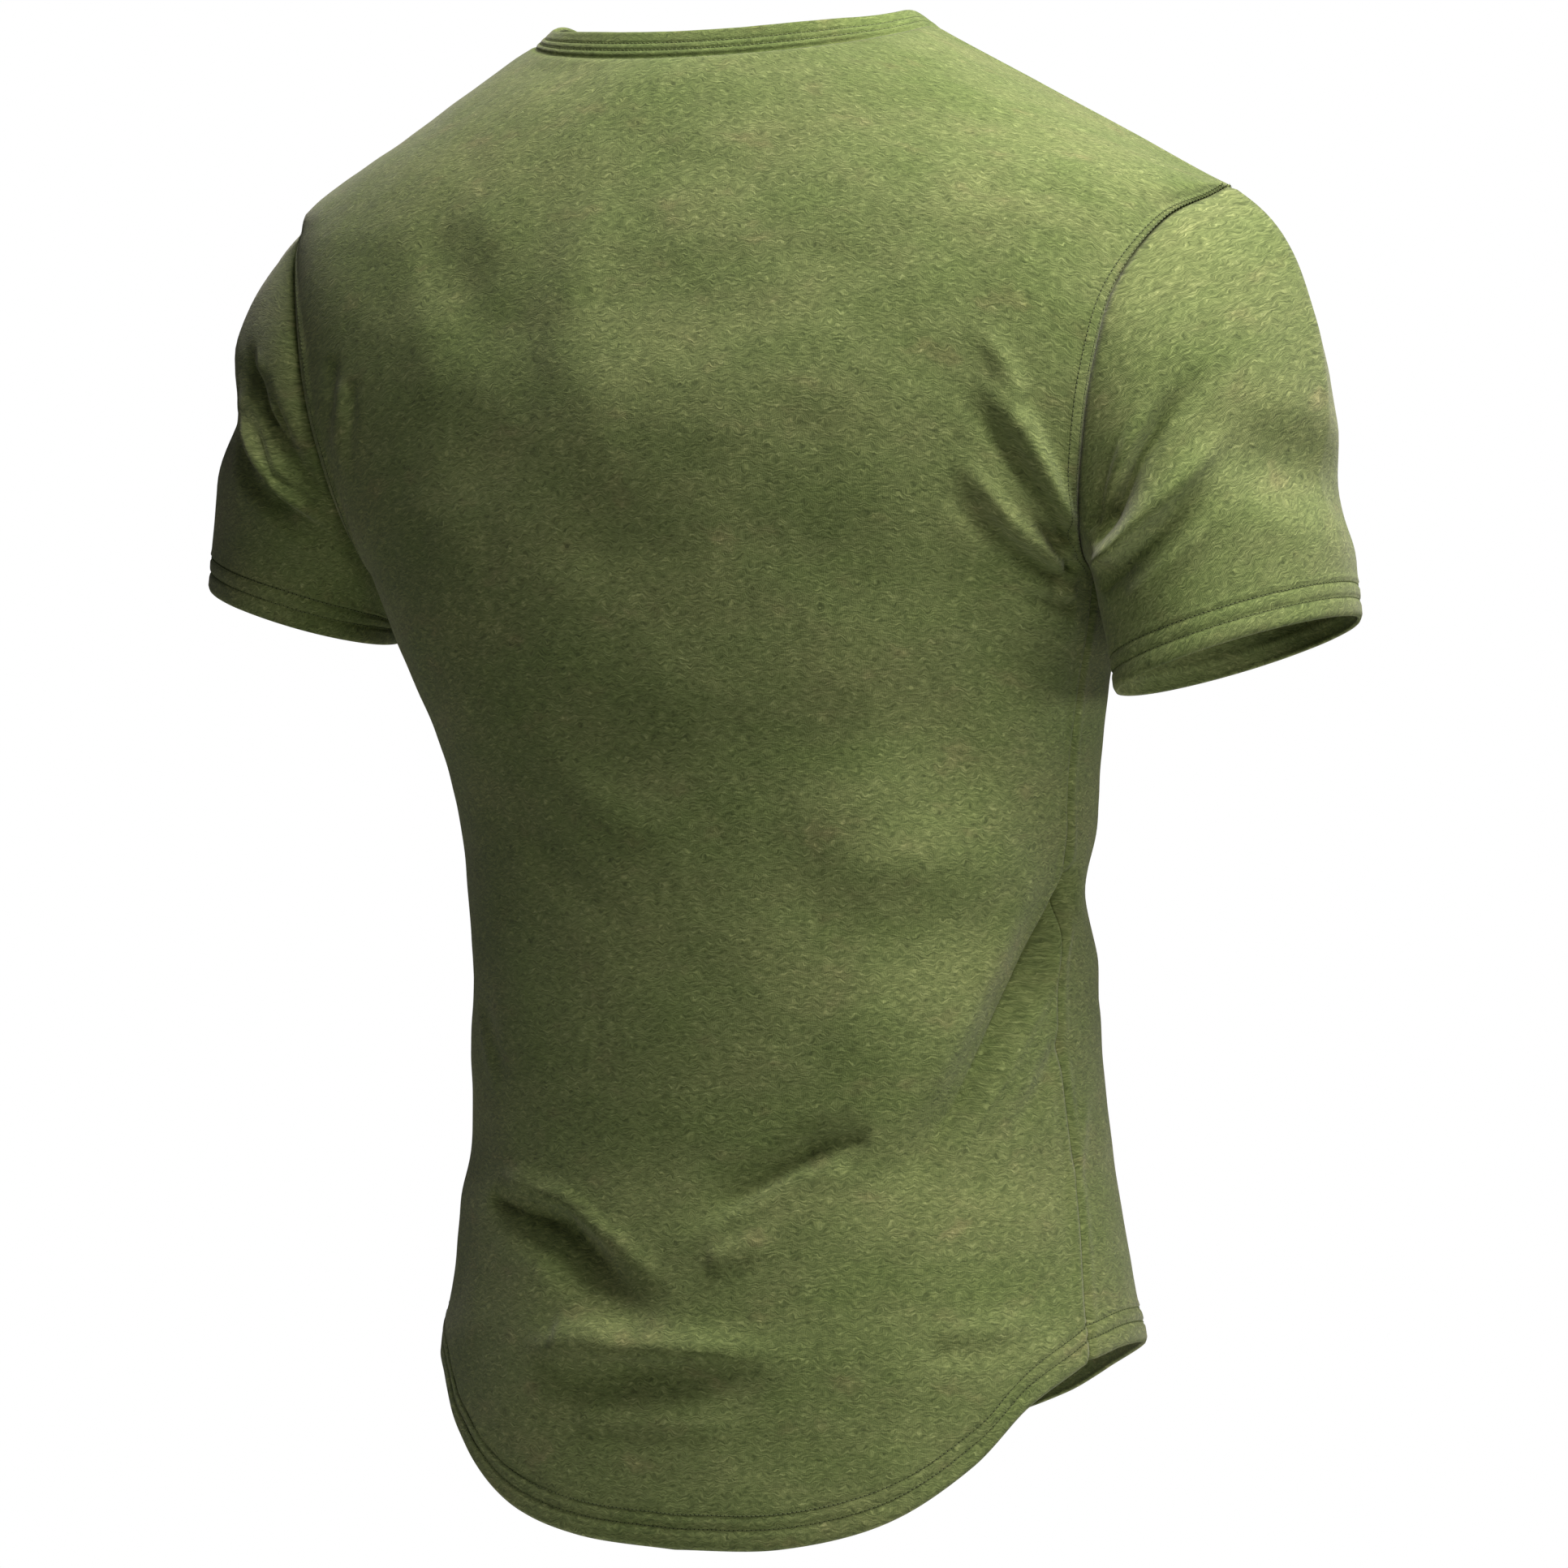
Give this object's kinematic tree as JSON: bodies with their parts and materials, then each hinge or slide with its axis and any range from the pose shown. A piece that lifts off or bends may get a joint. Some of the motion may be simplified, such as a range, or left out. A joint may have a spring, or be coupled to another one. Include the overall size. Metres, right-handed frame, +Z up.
{
  "type": "henley shirt",
  "caption": "Short-sleeved henley shirt in soft jersey, filled out as worn, with a narrow neckband, a buttoned front placket and a curved shirt-tail hem.",
  "frame": {"origin": "midway between the two points where the shoulder seams meet the neckband", "axes": "+Z up, +X to the wearer's left, the wearer faces -Y"},
  "size_m": [0.572, 0.2801, 0.6925],
  "materials": {
    "jersey": "heathered jersey knit",
    "neckband": "doubled jersey knit",
    "placket": "pressed jersey knit",
    "button": "satin"
  },
  "bodies": {
    "root": {"back_panel": "jersey", "front_panel": "jersey", "sleeve_left": "jersey", "sleeve_right": "jersey", "neckband": "neckband", "placket_under": "placket", "placket_upper": "placket", "button_1": "button", "button_2": "button", "button_3": "button"}
  },
  "joints": []
}
